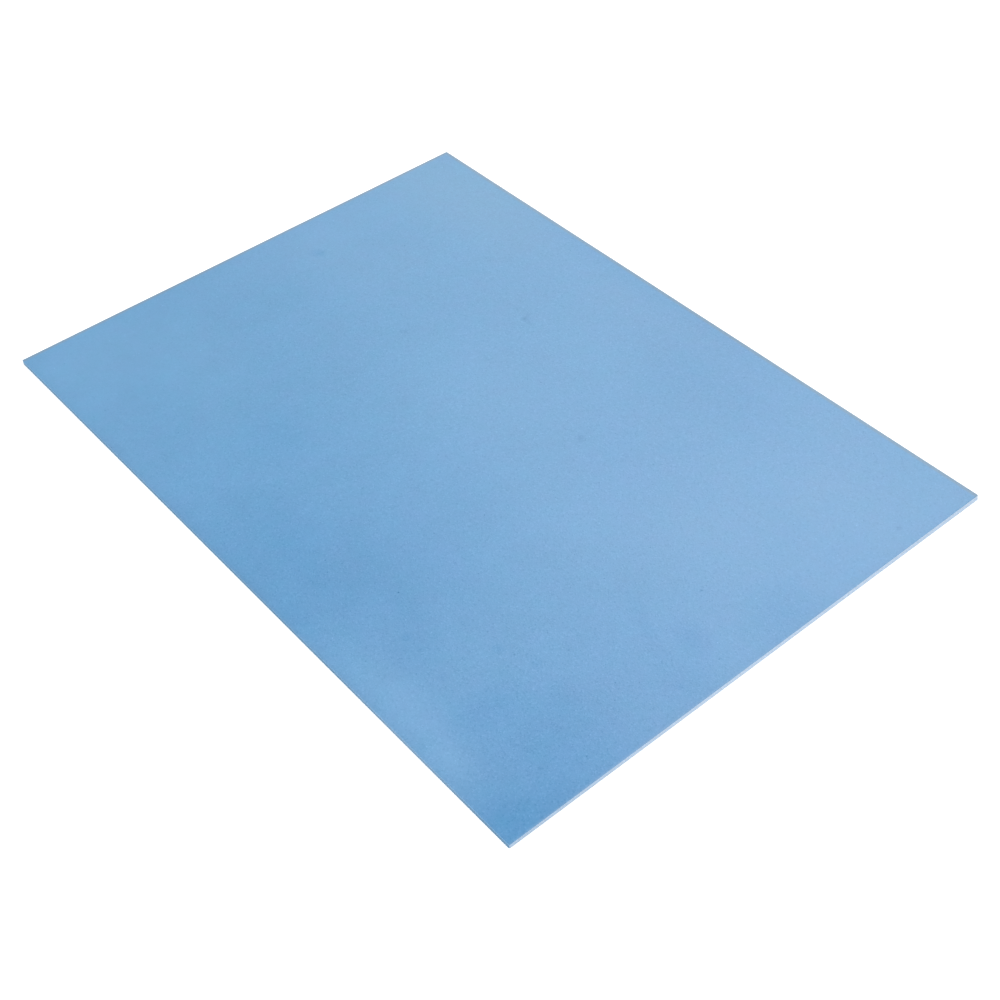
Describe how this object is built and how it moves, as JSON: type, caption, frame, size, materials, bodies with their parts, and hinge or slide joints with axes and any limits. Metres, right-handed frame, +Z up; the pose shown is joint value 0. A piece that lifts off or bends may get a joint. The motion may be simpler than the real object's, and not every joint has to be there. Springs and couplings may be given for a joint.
{
  "type": "foam sheet",
  "caption": "Thin flat rectangular sheet of closed-cell craft foam with clean cut edges, for cutting out, padding, backing and model making.",
  "frame": {"origin": "middle of the underside, on the surface that the sheet lies on", "axes": "+X along the long side, +Y along the short side, +Z up out of the upper skin"},
  "size_m": [0.297, 0.21, 0.002],
  "materials": {
    "foam": "matte"
  },
  "bodies": {
    "root": {"foam_sheet": "foam"}
  },
  "joints": []
}
